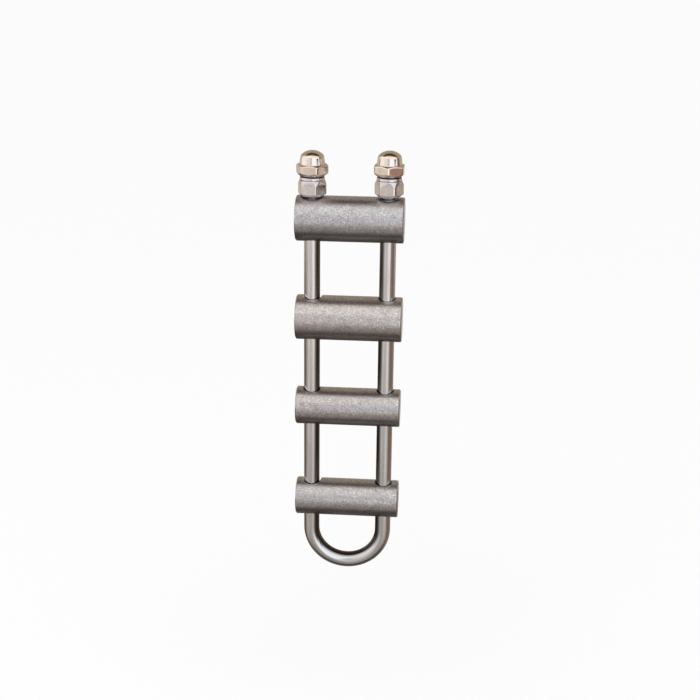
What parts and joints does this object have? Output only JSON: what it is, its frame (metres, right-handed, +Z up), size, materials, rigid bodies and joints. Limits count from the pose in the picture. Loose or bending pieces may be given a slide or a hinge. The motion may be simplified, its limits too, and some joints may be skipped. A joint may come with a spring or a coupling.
{
  "type": "rappel rack",
  "caption": "Compact U-frame rappel rack: brake bars across a bent rod, captive and swinging bars by turns, held by lock nuts under domed cap nuts",
  "frame": {"origin": "centre of the frame's bend, in the middle of the harness eye", "axes": "+Z up along the legs to the nuts, +X to the right leg, about which the swing bars hinge, -Y to the front; the swing bars' slots stand at the left leg and open to the back"},
  "size_m": [0.0529, 0.0222, 0.2199],
  "materials": {
    "frame_steel": "satin, brushed along the rod",
    "bar_aluminium": "matte, tumbled",
    "nut_steel": "polished",
    "ring_nylon": "matte"
  },
  "bodies": {
    "frame": {"u_frame": "frame_steel", "left_lock_nut": "nut_steel", "right_lock_nut": "nut_steel", "left_lock_ring": "ring_nylon", "right_lock_ring": "ring_nylon", "left_cap_nut": "nut_steel", "right_cap_nut": "nut_steel"},
    "top_bar": {"top_bar": "bar_aluminium"},
    "upper_swing_bar": {"upper_swing_bar": "bar_aluminium"},
    "middle_bar": {"middle_bar": "bar_aluminium"},
    "lower_swing_bar": {"lower_swing_bar": "bar_aluminium"}
  },
  "joints": [
    {"name": "top_bar_slide", "type": "slide", "parent": "frame", "child": "top_bar", "axis": [0, 0, 1], "range_m": [-0.0125, 0]},
    {"name": "upper_bar_swing", "type": "hinge", "parent": "top_bar", "child": "upper_swing_bar", "pos_m": [0.0185, 0, 0.1138], "axis": [0, 0, 1], "range_deg": [0, 335]},
    {"name": "middle_bar_slide", "type": "slide", "parent": "frame", "child": "middle_bar", "axis": [0, 0, 1], "range_m": [-0.007, 0.0125]},
    {"name": "lower_bar_swing", "type": "hinge", "parent": "middle_bar", "child": "lower_swing_bar", "pos_m": [0.0185, 0, 0.0172], "axis": [0, 0, 1], "range_deg": [0, 335]}
  ]
}
